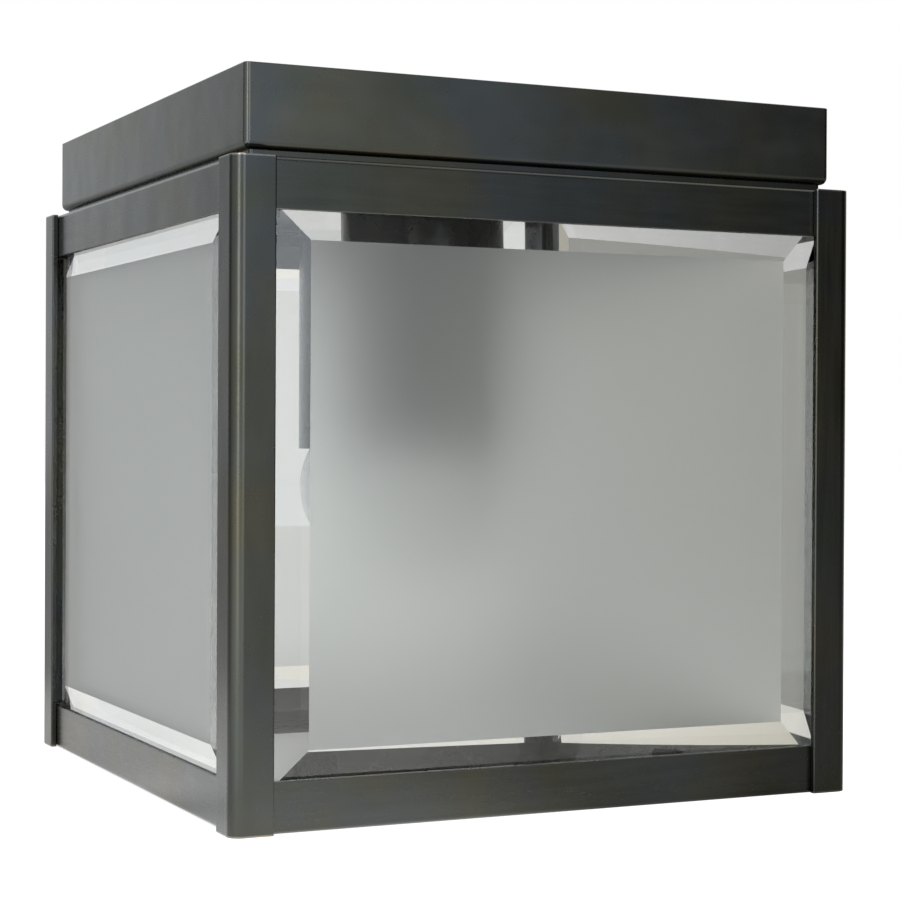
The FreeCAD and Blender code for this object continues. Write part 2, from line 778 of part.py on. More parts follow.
write("terminal_block", [terminal_block()])
write("terminal_screws", terminal_screws())
write("block_screws", [block_screw(x) for x in BLOCK_SCREWS])
write("live_lead", [lamp_lead(-1)])
write("neutral_lead", [lamp_lead(1)])
write("earth_lead", [earth_lead()])
write("earth_stud", [earth_stud()])
write("earth_nut", [earth_nut()])

write("bulb_globe", [bulb_globe()])
write("bulb_cap", [bulb_cap()])
write("bulb_collar", [bulb_collar()])
write("bulb_insulator", [bulb_insulator()])
write("bulb_contact", [rod(bulb_contact_radius, bulb_tip - 1, bulb_tip)])
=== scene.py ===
"""Square box lantern: dark brass frame, bevelled panes with frosted centres, an opal globe in a round can."""

import math

import bpy
import numpy as np
from bpy.props import FloatProperty, FloatVectorProperty, PointerProperty
from mathutils import Matrix, Vector


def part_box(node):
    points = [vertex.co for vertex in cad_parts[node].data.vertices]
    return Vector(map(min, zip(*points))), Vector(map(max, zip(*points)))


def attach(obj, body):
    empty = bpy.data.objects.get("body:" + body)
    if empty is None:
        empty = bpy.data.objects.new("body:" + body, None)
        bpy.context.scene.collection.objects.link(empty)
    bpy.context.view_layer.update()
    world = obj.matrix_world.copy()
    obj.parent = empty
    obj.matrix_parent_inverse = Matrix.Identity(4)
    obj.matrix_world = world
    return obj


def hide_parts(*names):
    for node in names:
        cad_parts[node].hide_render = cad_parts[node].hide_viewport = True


bl_info = {
    "name": "Box Lantern",
    "version": (1, 0, 0),
    "blender": (4, 5, 0),
    "location": "3D View > Sidebar > Lantern",
    "description": "Dresses the pieces of a square ceiling lantern and lights it",
    "category": "Object",
}

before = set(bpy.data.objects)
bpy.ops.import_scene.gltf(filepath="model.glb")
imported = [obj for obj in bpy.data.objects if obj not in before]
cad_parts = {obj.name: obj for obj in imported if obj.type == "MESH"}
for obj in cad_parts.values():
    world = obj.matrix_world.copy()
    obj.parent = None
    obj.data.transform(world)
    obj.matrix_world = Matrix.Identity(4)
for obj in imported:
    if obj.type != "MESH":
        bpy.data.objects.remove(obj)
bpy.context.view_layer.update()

SIDES = ("front", "right", "back", "left")
CORNERS = ("front_left", "front_right", "back_right", "back_left")

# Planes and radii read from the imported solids, in metres
POST_LOW, POST_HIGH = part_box("post_front_left")
HALF = -POST_LOW.x
FRAME_BOTTOM, FRAME_TOP = POST_LOW.z, POST_HIGH.z
FRAME_MIDDLE = (FRAME_BOTTOM + FRAME_TOP) / 2
RAIL_LOW, RAIL_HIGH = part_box("top_rail_front")
RAIL_FACE = -RAIL_LOW.y
CANOPY_LOW, CANOPY_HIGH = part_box("canopy")
CAN_LOW, CAN_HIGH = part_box("socket_can")
PANE_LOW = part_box("pane_front")[0]
GLOBE_LOW, GLOBE_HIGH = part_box("bulb_globe")
HOLDER_LOW, HOLDER_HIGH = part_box("lampholder_body")


# ------------------------------------------------------------------ settings a user would change


class LanternSizes(bpy.types.PropertyGroup):
    """Sizes of the drawn and rolled metal that the solids leave plain."""

    post_leg: FloatProperty(
        name="Post leg", description="Width of each leg of a corner post",
        default=POST_HIGH.x - POST_LOW.x, unit="LENGTH")
    post_wall: FloatProperty(
        name="Post wall", description="Thickness of a corner post's legs",
        default=HALF - RAIL_FACE, unit="LENGTH")
    post_corner: FloatProperty(
        name="Post corner", description="Radius of a post's outer corner",
        default=0.0055, unit="LENGTH")
    post_tip: FloatProperty(
        name="Post tip", description="Radius along a post's long outer edges",
        default=0.0007, unit="LENGTH")
    rail_corner: FloatProperty(
        name="Rail corner", description="Radius of a rail's outer corner",
        default=0.0020, unit="LENGTH")
    rail_wall: FloatProperty(
        name="Rail wall", description="Thickness of a rail's legs",
        default=0.0025, unit="LENGTH")
    end_rounding: FloatProperty(
        name="End rounding", description="Rounding that filing leaves on cut ends",
        default=0.00035, unit="LENGTH")
    canopy_corner: FloatProperty(
        name="Canopy corner", description="Radius of the canopy's upright corners",
        default=0.0024, unit="LENGTH")
    canopy_edge: FloatProperty(
        name="Canopy edge", description="Radius of the canopy's lower edge",
        default=0.0034, unit="LENGTH")
    canopy_sheet: FloatProperty(
        name="Canopy sheet", description="Thickness of the canopy's sheet",
        default=0.0016, unit="LENGTH")
    can_sheet: FloatProperty(
        name="Can sheet", description="Thickness of the can's sheet",
        default=0.0012, unit="LENGTH")
    thread_pitch: FloatProperty(
        name="Thread pitch", description="Rise of the bulb's thread in one turn",
        default=0.0036, unit="LENGTH")


class LanternFinishes(bpy.types.PropertyGroup):
    """Colours and glosses of the finishes, as linear colour."""

    patina_cool: FloatVectorProperty(
        name="Cool patina", description="Blue-grey places of the dark patina",
        default=(0.052, 0.057, 0.058), subtype="COLOR", min=0, max=1)
    patina_warm: FloatVectorProperty(
        name="Warm patina", description="Brown places of the dark patina",
        default=(0.064, 0.060, 0.044), subtype="COLOR", min=0, max=1)
    patina_olive: FloatVectorProperty(
        name="Olive patina", description="Thin olive places of the dark patina",
        default=(0.052, 0.055, 0.036), subtype="COLOR", min=0, max=1)
    patina_rough: FloatProperty(
        name="Patina roughness", description="Roughness of the waxed patina",
        default=0.27, min=0, max=1, subtype="FACTOR")
    # Partly real polish and partly a painted highlight: this brighter colour on rounded edges stands in for
    # the highlight lines along them.
    burnish_and_sheen: FloatVectorProperty(
        name="Burnished", description="Patina polished bright along the rails' upper edges",
        default=(0.17, 0.17, 0.17), subtype="COLOR", min=0, max=1)
    worn_brass: FloatVectorProperty(
        name="Worn brass", description="Bare brass on rubbed edges",
        default=(0.30, 0.22, 0.12), subtype="COLOR", min=0, max=1)
    clear_glass: FloatVectorProperty(
        name="Clear glass", description="Tint of the clear bevels",
        default=(0.918, 0.922, 0.916), subtype="COLOR", min=0, max=1)
    frosted_glass: FloatVectorProperty(
        name="Frosted glass", description="Tint of the frosted centres",
        default=(0.965, 1.0, 0.99), subtype="COLOR", min=0, max=1)
    frost_rough: FloatProperty(
        name="Frost roughness", description="Roughness of the acid-etched face",
        default=0.565, min=0, max=1, subtype="FACTOR")
    frost_half_width: FloatProperty(
        name="Frost half width", description="Half the width of the frosted rectangle",
        default=0.11715, unit="LENGTH")
    frost_half_height: FloatProperty(
        name="Frost half height", description="Half the height of the frosted rectangle",
        default=0.10655, unit="LENGTH")
    opal: FloatVectorProperty(
        name="Opal", description="Colour of the bulb's opal glass",
        default=(0.86, 0.85, 0.82), subtype="COLOR", min=0, max=1)


class LanternStage(bpy.types.PropertyGroup):
    """Camera, lamps and the tints and levels of the studio."""

    camera_place: FloatVectorProperty(
        name="Camera place", description="Where the camera stands",
        default=(-0.4474, -0.9922, -0.1537), subtype="XYZ", unit="LENGTH")
    camera_yaw: FloatProperty(
        name="Yaw", description="Turn of the view from +Y towards +X",
        default=math.radians(25.09), subtype="ANGLE")
    camera_pitch: FloatProperty(
        name="Pitch", description="Rise of the view above the level",
        default=math.radians(-0.43), subtype="ANGLE")
    camera_roll: FloatProperty(
        name="Roll", description="Lean of the camera",
        default=math.radians(0.28), subtype="ANGLE")
    lens: FloatProperty(
        name="Lens", description="Focal length in millimetres", default=86.64, min=1)
    window_power: FloatProperty(
        name="Window", description="Power of the tall cool lamp in front", default=12.0, unit="POWER")
    side_power: FloatProperty(
        name="Side", description="Power of the tall lamp at the front left", default=18.5, unit="POWER")
    overhead_power: FloatProperty(
        name="Overhead", description="Power of the soft lamp overhead", default=36.0, unit="POWER")
    cool_side: FloatVectorProperty(
        name="Cool side", description="Tint of the studio at the left",
        default=(0.95, 0.98, 1.0), subtype="COLOR", min=0, max=1)
    daylight: FloatVectorProperty(
        name="Daylight", description="Tint of the strip at the front right that metal shows",
        default=(0.72, 0.84, 1.0), subtype="COLOR", min=0, max=1)
    warm_side: FloatVectorProperty(
        name="Warm side", description="Tint of the studio at the right",
        default=(1.0, 0.94, 0.80), subtype="COLOR", min=0, max=1)
    surround: FloatProperty(
        name="Surround", description="Level of the light from all round", default=0.58, min=0)
    floor_white: FloatProperty(
        name="Floor white", description="What is added to the floor that the camera sees",
        default=0.72, min=0)


# ------------------------------------------------------------------ shader maths


class Signal:
    """A number that a node puts out. Arithmetic on it adds Math nodes."""

    def __init__(self, finish, socket):
        self.finish = finish
        self.socket = socket

    def _math(self, operation, *values):
        return self.finish.node("ShaderNodeMath", {"operation": operation}, dict(enumerate(values)))

    def __add__(self, other):
        return self._math("ADD", self, other)

    def __radd__(self, other):
        return self._math("ADD", other, self)

    def __sub__(self, other):
        return self._math("SUBTRACT", self, other)

    def __rsub__(self, other):
        return self._math("SUBTRACT", other, self)

    def __mul__(self, other):
        return self._math("MULTIPLY", self, other)

    def __rmul__(self, other):
        return self._math("MULTIPLY", other, self)

    def __lt__(self, other):
        return self._math("LESS_THAN", self, other)

    def __gt__(self, other):
        return self._math("GREATER_THAN", self, other)

    def __abs__(self):
        return self._math("ABSOLUTE", self)

    def least(self, other):
        return self._math("MINIMUM", self, other)

    def most(self, other):
        return self._math("MAXIMUM", self, other)

    def step(self, low, high, to_low=0.0, to_high=1.0):
        """Smooth step from to_low to to_high between two values."""
        return self.finish.node(
            "ShaderNodeMapRange", {"interpolation_type": "SMOOTHSTEP"},
            {"Value": self, "From Min": low, "From Max": high, "To Min": to_low, "To Max": to_high})


class Finish:
    """A node tree under construction."""

    def __init__(self, tree):
        self.tree = tree
        self.tree.nodes.clear()

    def node(self, kind, settings=None, inputs=None, output=0):
        """Adds a node: settings first (a ramp's stops too), then the values or links of its sockets."""
        made = self.tree.nodes.new(kind)
        for key, value in (settings or {}).items():
            if key == "stops":
                ramp = made.color_ramp.elements
                while len(ramp) < len(value):
                    ramp.new(1.0)
                for stop, (place, colour) in zip(ramp, value):
                    stop.position = place
                    stop.color = (*colour, 1.0)
            else:
                setattr(made, key, value)
        for key, value in (inputs or {}).items():
            if isinstance(value, Signal):
                self.tree.links.new(value.socket, made.inputs[key])
            else:
                made.inputs[key].default_value = value
        return Signal(self, made.outputs[output])

    def place(self):
        """Object coordinates, in metres."""
        return self.node("ShaderNodeTexCoord", output=3)

    def axes(self, vector):
        """The three numbers of a vector."""
        split = self.node("ShaderNodeSeparateXYZ", None, {0: vector}).socket.node
        return [Signal(self, out) for out in split.outputs]

    def attribute(self, name, vector=False):
        """A number or a vector that the mesh carries at its points."""
        return self.node("ShaderNodeAttribute", {"attribute_name": name}, None, 1 if vector else 2)

    def stretched(self, vector, scale):
        """A vector with each axis scaled on its own."""
        return self.node("ShaderNodeMapping", None, {"Vector": vector, "Scale": scale})

    def noise(self, vector, scale, detail=3.0, roughness=0.5, distortion=0.0):
        return self.node("ShaderNodeTexNoise", None, {
            "Vector": vector, "Scale": scale, "Detail": detail,
            "Roughness": roughness, "Distortion": distortion})

    def blend(self, factor, first, second):
        """Colour between two colours."""
        return self.node(
            "ShaderNodeMix", {"data_type": "RGBA", "blend_type": "MIX", "clamp_factor": True},
            {0: factor, 6: first, 7: second}, 2)

    def ramp(self, place, *stops):
        """A level that runs smoothly through the given stops of place and level."""
        grey = [(at, (level, level, level)) for at, level in stops]
        return self.node("ShaderNodeValToRGB", {"stops": grey}, {0: place})

    def bump(self, height, distance, strength=1.0):
        return self.node("ShaderNodeBump", None, {
            "Strength": strength, "Distance": distance, "Height": height})

    def principled(self, **inputs):
        """Principled shader, its sockets by name."""
        named = {key.replace("_", " "): value for key, value in inputs.items()}
        return self.node("ShaderNodeBsdfPrincipled", None, named)

    def surface(self, **inputs):
        """Principled surface as the material's output."""
        self.node_to_output(self.principled(**inputs))

    def node_to_output(self, shader, kind="ShaderNodeOutputMaterial"):
        out = self.tree.nodes.new(kind)
        self.tree.links.new(shader.socket, out.inputs["Surface"])


def opaque(colour):
    """Colour with full alpha."""
    return (*tuple(colour)[:3], 1.0)


def new_finish(name):
    """A material and the tree to fill."""
    material = bpy.data.materials.new(name)
    material.use_nodes = True
    return material, Finish(material.node_tree)


def once(make):
    """Keeps the material of a finish, so each is made a single time."""
    kept = {}

    def get(*args):
        if args not in kept:
            kept[args] = make(*args)
        return kept[args]
    return get


# ------------------------------------------------------------------ finishes


@once
def dark_patina(name="dark_patina", level=1.0):
    """Darkened brass under wax: cool and warm clouds, faint brushing, bare brass at rubbed edges, and on
    rounded edges a brighter burnished colour that is partly real polish and partly a painted highlight.
    """
    colours = bpy.context.scene.lantern_finishes
    material, f = new_finish(name)
    place = f.place()
    grain = f.attribute("grain", vector=True)
    wear = f.attribute("wear")
    clouds = f.noise(place, 13.0, 3.0, 0.5, 0.4).step(0.36, 0.66)
    patches = f.noise(place, 31.0, 2.0, 0.5, 0.2).step(0.40, 0.68)
    smears = f.noise(f.stretched(grain, (22.0, 70.0, 60.0)), 1.0, 2.0, 0.5)
    speck = f.noise(place, 900.0, 2.0, 0.6)
    brushed = f.noise(f.stretched(grain, (45.0, 1600.0, 1.0)), 1.0, 2.0, 0.5)
    colour = f.blend(clouds, opaque(colours.patina_cool), opaque(colours.patina_warm))
    colour = f.blend(patches * 0.45, colour, opaque(colours.patina_olive))
    # level scales the patina's colour: above 1 a brighter lit copy, below 1 a darker shaded copy, which is
    # painted light and shade.
    tone = level * (0.83 + smears * 0.30 + speck * 0.06 + brushed * 0.03)
    colour = f.node("ShaderNodeVectorMath", {"operation": "SCALE"}, {0: colour, "Scale": tone})
    # Where the edge value passes 0.2 the burnished colour comes in: partly real polish, partly a painted
    # highlight line along the edge.
    colour = f.blend(wear.step(0.2, 0.6), colour, opaque(colours.burnish_and_sheen))
    rubbed = (wear * (0.45 + 0.9 * f.noise(place, 160.0, 3.0, 0.6))).step(0.72, 1.1)
    colour = f.blend(rubbed, colour, opaque(colours.worn_brass))
    rough = colours.patina_rough - 0.05 + 0.09 * smears + 0.02 * speck - rubbed * 0.10
    hammer = f.noise(place, 38.0, 1.0, 0.4) + 0.006 * brushed + 0.012 * speck
    f.surface(Base_Color=colour, Metallic=1.0, Roughness=rough,
              Normal=f.bump(hammer, 0.00035, 0.6), Coat_Weight=0.12, Coat_Roughness=0.28)
    return material


@once
def bevelled_glass():
    """Clear plate whose outer face is etched inside the bevels."""
    colours = bpy.context.scene.lantern_finishes
    material, f = new_finish("bevelled_glass")
    place = f.place()
    x, y, z = f.axes(place)
    across = abs(x).least(abs(y))
    out = abs(x).most(abs(y))
    inside = (across < colours.frost_half_width) * (abs(z - FRAME_MIDDLE) < colours.frost_half_height)
    frost = inside * (out > -PANE_LOW.y - 0.0002)
    cloud = f.noise(place, 20.0, 3.0, 0.55)
    clear = f.principled(Base_Color=opaque(colours.clear_glass), Roughness=0.0, IOR=1.52,
                         Transmission_Weight=1.0)
    etched = f.principled(Base_Color=opaque(colours.frosted_glass), IOR=1.52,
                          Roughness=colours.frost_rough - 0.02 + 0.04 * cloud, Transmission_Weight=0.93)
    f.node_to_output(f.node("ShaderNodeMixShader", None, {0: frost, 1: clear, 2: etched}))
    return material


@once
def opal_glass():
    """White glass that scatters: pale, with a soft gloss."""
    colours = bpy.context.scene.lantern_finishes
    material, f = new_finish("opal_glass")
    place = f.place()
    haze = f.noise(place, 60.0, 2.0, 0.5)
    pale = [min(1.0, c * 1.06) for c in colours.opal]
    colour = f.blend(haze, opaque(colours.opal), opaque(pale))
    f.surface(Base_Color=colour, Roughness=0.24 + 0.06 * haze, Subsurface_Weight=0.85,
              Subsurface_Radius=(0.030, 0.030, 0.030), Subsurface_Scale=1.0)
    return material


@once
def plain_brass():
    """Plain brass fittings, slightly tarnished."""
    material, f = new_finish("plain_brass")
    place = f.place()
    tarnish = f.noise(place, 180.0, 3.0, 0.6).step(0.35, 0.75)
    colour = f.blend(tarnish, (0.48, 0.35, 0.15, 1), (0.25, 0.17, 0.08, 1))
    f.surface(Base_Color=colour, Metallic=1.0, Roughness=0.26 + 0.16 * tarnish,
              Normal=f.bump(f.noise(place, 700.0, 2.0, 0.5), 0.00008, 0.5))
    return material


@once
def zinc_steel():
    """Zinc plated steel with a faint spangle."""
    material, f = new_finish("zinc_steel")
    place = f.place()
    spangle = f.noise(place, 260.0, 2.0, 0.6, 0.8)
    colour = f.blend(spangle, (0.44, 0.45, 0.47, 1), (0.62, 0.61, 0.57, 1))
    f.surface(Base_Color=colour, Metallic=1.0, Roughness=0.30 + 0.14 * spangle,
              Normal=f.bump(f.noise(place, 1100.0, 2.0, 0.5), 0.00005, 0.5))
    return material


@once
def porcelain():
    """Glazed white porcelain."""
    material, f = new_finish("porcelain")
    place = f.place()
    glaze = f.noise(place, 90.0, 2.0, 0.5)
    colour = f.blend(glaze, (0.76, 0.75, 0.71, 1), (0.83, 0.82, 0.79, 1))
    f.surface(Base_Color=colour, Roughness=0.14 + 0.08 * glaze, Coat_Weight=0.5, Coat_Roughness=0.06,
              Normal=f.bump(glaze, 0.0004, 0.3))
    return material


@once
def moulded(name, red, green, blue, rough):
    """Moulded plastic or rubber with a fine eggshell."""
    material, f = new_finish(name)
    place = f.place()
    mottle = f.noise(place, 320.0, 3.0, 0.6)
    base = (red, green, blue)
    colour = f.blend(mottle, opaque([0.88 * c for c in base]), opaque([min(1.0, 1.10 * c) for c in base]))
    f.surface(Base_Color=colour, Roughness=rough - 0.05 + 0.10 * mottle,
              Normal=f.bump(f.noise(place, 2400.0, 2.0, 0.5), 0.00004, 0.6))
    return material


@once
def rolled_aluminium():
    """Thin rolled cap of the bulb."""
    material, f = new_finish("rolled_aluminium")
    place = f.place()
    streak = f.noise(f.stretched(place, (120.0, 120.0, 2500.0)), 1.0, 2.0, 0.5)
    colour = f.blend(streak, (0.56, 0.55, 0.52, 1), (0.72, 0.71, 0.68, 1))
    f.surface(Base_Color=colour, Metallic=1.0, Roughness=0.22 + 0.12 * streak)
    return material


@once
def black_glass():
    """Black glass insulator at the bulb's tip."""
    material, f = new_finish("black_glass")
    swirl = f.noise(f.place(), 260.0, 2.0, 0.5)
    colour = f.blend(swirl, (0.010, 0.010, 0.013, 1), (0.022, 0.020, 0.026, 1))
    f.surface(Base_Color=colour, Roughness=0.10 + 0.06 * swirl, Coat_Weight=0.4, Coat_Roughness=0.05)
    return material


# ------------------------------------------------------------------ surfaces worked out as arrays

ARC_STEPS = 6           # steps of an arc in a section, unless a piece asks for more
FINE_ARC_STEPS = 8      # steps of an arc in posts and canopy, whose corners are seen close
WORN_END = 0.0008       # length over which the wear of a cut end fades along a bar
CUT_END_WEAR = 0.55     # wear of a bar's cut end, between 0 and 1


def rounded_section(corners, radii, steps=ARC_STEPS):
    """Closed outline with every corner turned into an arc.

    At a corner with turn angle D and radius r, the arc's centre lies r inward from both edges.
    A point of the arc is centre + s r n(t), where n(t) is the first edge's outward normal turned
    by t from 0 to D, and s is 1 at an outward corner and -1 at an inward one. Returns points,
    outward normals and a ridge value sin(pi t / D), which is 1 on the crest of an outward arc.
    """
    points = np.asarray(corners, float)
    radii = np.asarray(radii, float)[:, None]
    ahead = np.roll(points, -1, 0) - points
    ahead /= np.linalg.norm(ahead, axis=1)[:, None]
    behind = np.roll(ahead, 1, 0)
    turn = np.arctan2(behind[:, 0] * ahead[:, 1] - behind[:, 1] * ahead[:, 0], (behind * ahead).sum(1))
    if turn.sum() < 0:
        return rounded_section(corners[::-1], list(radii[::-1, 0]), steps)
    side = np.sign(turn)[:, None]
    normal = np.stack([behind[:, 1], -behind[:, 0]], 1)
    start = points - behind * radii * np.tan(np.abs(turn) / 2)[:, None]
    centre = start - side * radii * normal
    share = np.linspace(0.0, 1.0, steps + 1)
    angle = turn[:, None] * share
    c, s = np.cos(angle), np.sin(angle)
    turned = np.stack([normal[:, :1] * c - normal[:, 1:] * s, normal[:, :1] * s + normal[:, 1:] * c], 2)
    outline = centre[:, None] + side[:, None] * radii[:, None] * turned
    ridge = np.sin(np.pi * share) * (side > 0)
    return outline.reshape(-1, 2), turned.reshape(-1, 2), ridge.reshape(-1)


class Skin:
    """Patches of one piece: points, normals, wear with its painted sheen, and grain, joined into one mesh."""

    def __init__(self):
        self.points, self.normals, self.wear, self.grain = [], [], [], []
        self.faces = []
        self.count = 0

    def add_points(self, points, normals, wear, grain):
        start = self.count
        self.points.append(points.reshape(-1, 3))
        self.normals.append(normals.reshape(-1, 3))
        self.wear.append(np.broadcast_to(wear, points.shape[:-1]).reshape(-1))
        self.grain.append(grain.reshape(-1, 3))
        self.count += points.size // 3
        return start

    def add_grid(self, points, normals, wear, grain, close_along=False):
        """Grid of closed rings of points: a quad joins each point with its neighbours in both directions."""
        start = self.add_points(points, normals, wear, grain)
        rows, across = points.shape[:2]
        index = np.arange(rows * across).reshape(rows, across)
        index = np.concatenate([index, index[:, :1]], 1)
        if close_along:
            index = np.concatenate([index, index[:1]], 0)
        quads = np.stack([index[:-1, :-1], index[:-1, 1:], index[1:, 1:], index[1:, :-1]], 2)
        self.faces.append(start + quads.reshape(-1, 4))

    def add_cap(self, ring, normal, wear, grain):
        """One flat face on a closed ring of points."""
        points = np.asarray(ring)
        normals = np.broadcast_to(np.asarray(normal, float), points.shape)
        start = self.add_points(points, normals, wear, grain)
        self.faces.append(start + np.arange(len(points))[None])

    def without_collapsed(self, points):
        """Faces where a side of no length has gone: such a quad is a triangle, and fewer sides is none."""
        for faces in self.faces:
            if faces.shape[1] != 4:
                yield faces
                continue
            side = np.linalg.norm(points[faces] - points[np.roll(faces, -1, 1)], axis=2) > 1e-8
            yield faces[side.all(1)]
            for gone in range(4):
                one = (side.sum(1) == 3) & ~side[:, gone]
                yield np.delete(faces[one], gone, 1)

    def build(self, name, material):
        """The mesh object. A quad that faces against its points' normals is turned round."""
        points = np.concatenate(self.points)
        normals = np.concatenate(self.normals)
        normals = normals / np.maximum(np.linalg.norm(normals, axis=1), 1e-12)[:, None]
        loops, sizes = [], []
        for faces in self.without_collapsed(points):
            spots = points[faces]
            facing = np.cross(spots, np.roll(spots, -1, 1)).sum(1)
            against = (facing * normals[faces].sum(1)).sum(1) < 0
            faces = np.where(against[:, None], faces[:, ::-1], faces)
            loops.append(faces.reshape(-1))
            sizes.append(np.full(len(faces), faces.shape[1]))
        loops, sizes = np.concatenate(loops), np.concatenate(sizes)
        mesh = bpy.data.meshes.new(name)
        mesh.vertices.add(len(points))
        mesh.vertices.foreach_set("co", points.astype(np.float32).ravel())
        mesh.loops.add(len(loops))
        mesh.loops.foreach_set("vertex_index", loops.astype(np.int32))
        mesh.polygons.add(len(sizes))
        starts = np.concatenate([[0], np.cumsum(sizes)[:-1]])
        mesh.polygons.foreach_set("loop_start", starts.astype(np.int32))
        mesh.update(calc_edges=True)
        mesh.shade_smooth()
        mesh.normals_split_custom_set(normals[loops].tolist())
        wear = mesh.attributes.new("wear", "FLOAT", "POINT")
        wear.data.foreach_set("value", np.concatenate(self.wear).astype(np.float32))
        grain = mesh.attributes.new("grain", "FLOAT_VECTOR", "POINT")
        grain.data.foreach_set("vector", np.concatenate(self.grain).astype(np.float32).ravel())
        mesh.materials.append(material)
        piece = bpy.data.objects.new(name, mesh)
        bpy.context.scene.collection.objects.link(piece)
        return piece


def run_along(points):
    """How far each point of a line lies from its first point, along the line."""
    return np.concatenate([[0.0], np.cumsum(np.linalg.norm(np.diff(points, axis=0), axis=1))])


def spun(outline, normals, slices):
    """Rings round the Z axis: points (r cos t, r sin t, z) with normals (nr cos t, nr sin t, nz)."""
    turn = np.linspace(0.0, 2 * math.pi, slices, endpoint=False)
    c, s = np.cos(turn), np.sin(turn)
    return [np.stack([line[:, :1] * c, line[:, :1] * s, np.repeat(line[:, 1:], slices, 1)], 2)
            for line in (outline, normals)]


def quarter_turned(array, turns):
    """Points or normals turned by quarter turns round Z."""
    c, s = round(math.cos(turns * math.pi / 2)), round(math.sin(turns * math.pi / 2))
    x, y = array[..., 0], array[..., 1]
    return np.stack([c * x - s * y, s * x + c * y, array[..., 2]], -1)


def bar(section, ends, place, heading, turns, rounding, offset):
    """Skin of a bar: a section carried along a line between two end planes, with rounded ends.

    section gives points, normals and ridge in its own plane; ends(points) gives the low and high
    end of each point's line; place(points, s) puts a section point at s along the line. Near an
    end the section shrinks by e (1 - sin a) along its normals and stops e (1 - cos a) short of
    the end plane, for a from 0 to 90 degrees, which is a rounding of radius e.
    """
    points, normals, ridge = section
    low, high = ends(points)
    quarter = np.radians([0.0, 30.0, 60.0, 90.0])
    near = [(rounding * (1 - math.sin(a)), rounding * (1 - math.cos(a)), a) for a in quarter]
    rows = [(inset, low + run, -math.cos(a), math.sin(a), 1.0) for inset, run, a in near]
    fade = np.minimum(WORN_END, (high - low) * 0.2)
    rows.append((0.0, low + rounding + fade, 0.0, 1.0, 0.0))
    rows.append((0.0, high - rounding - fade, 0.0, 1.0, 0.0))
    rows += [(inset, high - run, math.cos(a), math.sin(a), 1.0) for inset, run, a in reversed(near)]
    length = run_along(points)
    along_axis = np.asarray(heading, float)
    still = np.zeros(len(points))
    all_points, all_normals, all_wear_and_sheen, all_grain = [], [], [], []
    for inset, s, tip, side, worn in rows:
        shrunk = points - normals * inset
        s = np.broadcast_to(s, len(points))
        spot = place(shrunk, s)
        flat = place(normals, still) - place(np.zeros_like(points), still)
        all_points.append(spot)
        all_normals.append(flat * side + along_axis * tip)
        all_wear_and_sheen.append(np.maximum(ridge, worn))
        all_grain.append(np.stack([s + offset, length + 3.0 * offset, np.full(len(points), offset)], 1))
    turn = [quarter_turned(np.array(a), turns) for a in (all_points, all_normals)]
    skin = Skin()
    skin.add_grid(turn[0], turn[1], np.array(all_wear_and_sheen), np.array(all_grain))
    for row, sign in ((0, -1.0), (-1, 1.0)):
        cap_normal = quarter_turned(along_axis * sign, turns)
        skin.add_cap(turn[0][row], cap_normal, CUT_END_WEAR, np.array(all_grain)[row])
    return skin


def revolved(profile, radii, material, name, slices=96, steps=5, start=0.0, wear=1.0):
    """Piece turned round the Z axis: a profile of (radius, height) corners, each rounded.

    Corners on the axis stay sharp, so poles close.
    """
    outline, normals, ridge = rounded_section(profile, radii, steps)
    points, facing = spun(outline, normals, slices)
    length = np.repeat(run_along(outline)[:, None], slices, 1)
    grain = np.stack([length + start, points[..., 0] + points[..., 1], points[..., 2]], 2)
    skin = Skin()
    skin.add_grid(points, facing, np.repeat(ridge[:, None] * wear, slices, 1), grain, close_along=True)
    return skin.build(name, material)


def keep(piece, body, slot, *nodes):
    """Says what a piece rides on and stands for: puts it on its body and hides those solids. The slot is not
    used.
    """
    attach(piece, body)
    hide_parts(*nodes)


def dress(material, *nodes):
    """Gives solids that keep their own shape a finish."""
    for node in nodes:
        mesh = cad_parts[node].data
        mesh.materials.clear()
        mesh.materials.append(material)


# ------------------------------------------------------------------ operators, one for each group of pieces


class LANTERN_OT_posts(bpy.types.Operator):
    """Corner posts: rolled angle with a rounded outer corner and filed ends"""

    bl_idname = "lantern.posts"
    bl_label = "Corner posts"

    def execute(self, context):
        sizes = context.scene.lantern_sizes
        leg, wall = sizes.post_leg, sizes.post_wall
        outer, inner, tip = -HALF, -HALF + wall, -HALF + leg
        corners = [(outer, outer), (tip, outer), (tip, inner), (inner, inner), (inner, tip), (outer, tip)]
        radii = [sizes.post_corner, sizes.post_tip, 0.0005, 0.0010, 0.0005, sizes.post_tip]
        points, normals, ridge = rounded_section(corners, radii, FINE_ARC_STEPS)
        # Edge values per corner: the tips' 0.26 is partly real wear and partly a painted sheen line along the
        # post's edges.
        rubbed = np.repeat(np.array([0.0, 0.26, 0.2, 0.0, 0.2, 0.26]), FINE_ARC_STEPS + 1)
        section = points, normals, ridge * rubbed

        def ends(spots):
            return np.full(len(spots), FRAME_BOTTOM), np.full(len(spots), FRAME_TOP)

        def place(spots, s):
            return np.column_stack([spots, s])

        for turns, name in enumerate(CORNERS):
            skin = bar(section, ends, place, (0, 0, 1), turns, sizes.end_rounding, 0.7 * turns)
            keep(skin.build("corner_post_" + name, dark_patina()), "root", "dark_brass", "post_" + name)
        return {"FINISHED"}


